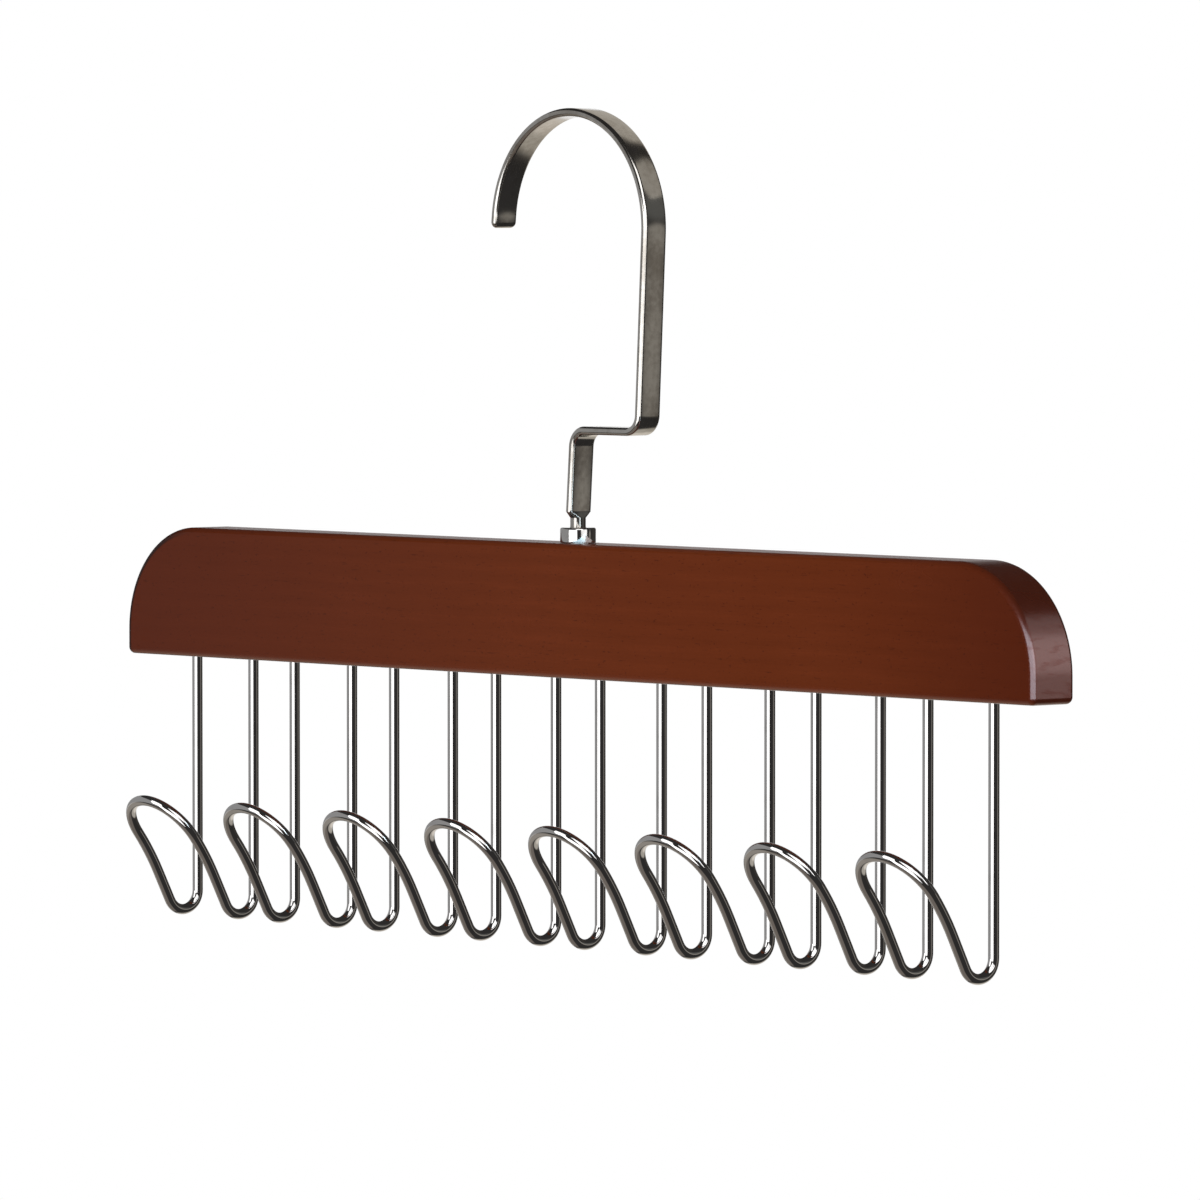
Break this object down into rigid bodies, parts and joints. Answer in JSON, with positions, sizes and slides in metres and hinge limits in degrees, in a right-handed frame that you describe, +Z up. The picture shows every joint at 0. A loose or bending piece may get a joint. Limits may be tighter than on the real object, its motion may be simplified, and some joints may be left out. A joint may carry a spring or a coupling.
{
  "type": "multi-hook accessory hanger",
  "caption": "Wooden hanger bar with round top corners, a row of bent wire hooks for straps and belts along its underside, and a flat swivel hook that hangs over a rod.",
  "frame": {"origin": "the point inside the crown of the swivel hook that rests on the rod, on the swivel's axis", "axes": "+X along the bar to the right, seen from the front; -Y the front, which the wire hooks open towards; +Z up along the swivel's axis"},
  "size_m": [0.32, 0.0323, 0.1932],
  "materials": {
    "stained_wood": "dark red-brown stain under satin lacquer",
    "polished_steel": "flattened steel, nickel plated, satin flats and bright edges",
    "chrome_collar": "polished",
    "chrome_wire": "polished",
    "zinc_steel": "zinc plated"
  },
  "bodies": {
    "hanging_hook": {"swivel_hook": "polished_steel", "retaining_washer": "zinc_steel"},
    "bar_assembly": {"wood_bar": "stained_wood", "swivel_socket": "chrome_collar", "wire_hook_1": "chrome_wire", "wire_hook_2": "chrome_wire", "wire_hook_3": "chrome_wire", "wire_hook_4": "chrome_wire", "wire_hook_5": "chrome_wire", "wire_hook_6": "chrome_wire", "wire_hook_7": "chrome_wire", "wire_hook_8": "chrome_wire"}
  },
  "joints": [
    {"name": "bar_swivel", "type": "hinge", "parent": "hanging_hook", "child": "bar_assembly", "pos_m": [0, 0, -0.0946], "axis": [0, 0, 1], "continuous": true}
  ]
}
